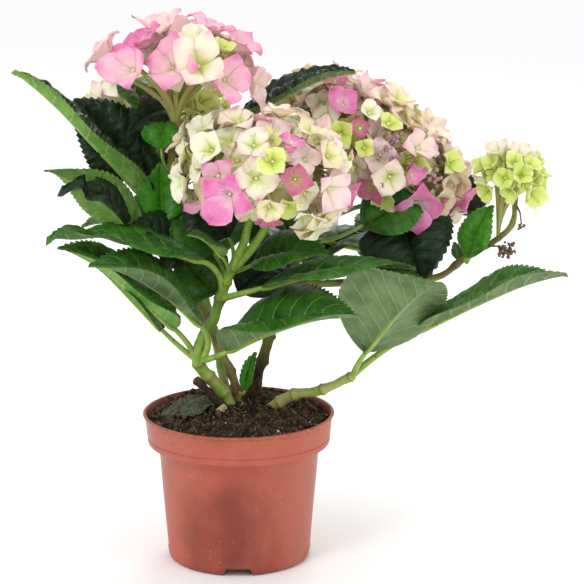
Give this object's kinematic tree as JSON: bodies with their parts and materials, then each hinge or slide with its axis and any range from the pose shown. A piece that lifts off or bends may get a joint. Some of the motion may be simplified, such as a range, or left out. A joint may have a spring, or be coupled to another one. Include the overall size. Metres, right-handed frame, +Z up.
{
  "type": "potted hydrangea shrub",
  "caption": "Small flowering hydrangea with rounded pink and lime flower heads and large toothed leaves, in a plastic pot of soil.",
  "frame": {"origin": "centre of the flat underside of the pot", "axes": "+Z up, -Y the plant's front, +X to the right seen from the front"},
  "size_m": [0.3578, 0.2297, 0.3745],
  "materials": {
    "pot": "moulded terracotta-brown plastic, satin, lightly scuffed",
    "soil": "damp peat with fibres and white grains",
    "stem": "green young stems, speckled red-brown",
    "woody_stem": "brown flaking bark",
    "leaf": "dark green quilted leaf, semi-gloss, paler underneath",
    "bloom": "thin petals, cream, pink and lime"
  },
  "bodies": {
    "root": {"bloom_back_left": "bloom", "bloom_far_right": "bloom", "bloom_front": "bloom", "bloom_right": "bloom", "bloom_top_left": "bloom", "bough_far_right": "stem", "bough_front_fork": "stem", "leaf_at_foot": "leaf", "leaf_behind_fork": "leaf", "leaf_behind_stem": "leaf", "leaf_between_blooms": "leaf", "leaf_beyond_right_bloom": "leaf", "leaf_cupped_green": "leaf", "leaf_dark_narrow": "leaf", "leaf_far_green": "leaf", "leaf_far_side_1": "leaf", "leaf_far_side_10": "leaf", "leaf_far_side_11": "leaf", "leaf_far_side_12": "leaf", "leaf_far_side_2": "leaf", "leaf_far_side_3": "leaf", "leaf_far_side_4": "leaf", "leaf_far_side_5": "leaf", "leaf_far_side_6": "leaf", "leaf_far_side_7": "leaf", "leaf_far_side_8": "leaf", "leaf_far_side_9": "leaf", "leaf_far_small": "leaf", "leaf_fork_right": "leaf", "leaf_fork_small": "leaf", "leaf_front_left": "leaf", "leaf_front_right": "leaf", "leaf_glossy_left": "leaf", "leaf_glossy_middle": "leaf", "leaf_glossy_upper": "leaf", "leaf_left_behind": "leaf", "leaf_left_crumpled": "leaf", "leaf_left_lower": "leaf", "leaf_left_lowest": "leaf", "leaf_left_middle": "leaf", "leaf_left_pale": "leaf", "leaf_middle_right": "leaf", "leaf_pale_rib": "leaf", "leaf_right_facing": "leaf", "leaf_right_long": "leaf", "leaf_right_strip": "leaf", "leaf_round_green": "leaf", "leaf_under_right_bloom": "leaf", "leaf_under_top_bloom": "leaf", "leaf_upper_left_dark": "leaf", "leaf_upper_left_long": "leaf", "pot": "pot", "soil": "soil", "stem_back": "stem", "stem_front": "stem", "stem_left": "stem", "stem_low_right": "stem", "stem_woody": "woody_stem", "stub_dead": "woody_stem"}
  },
  "joints": []
}
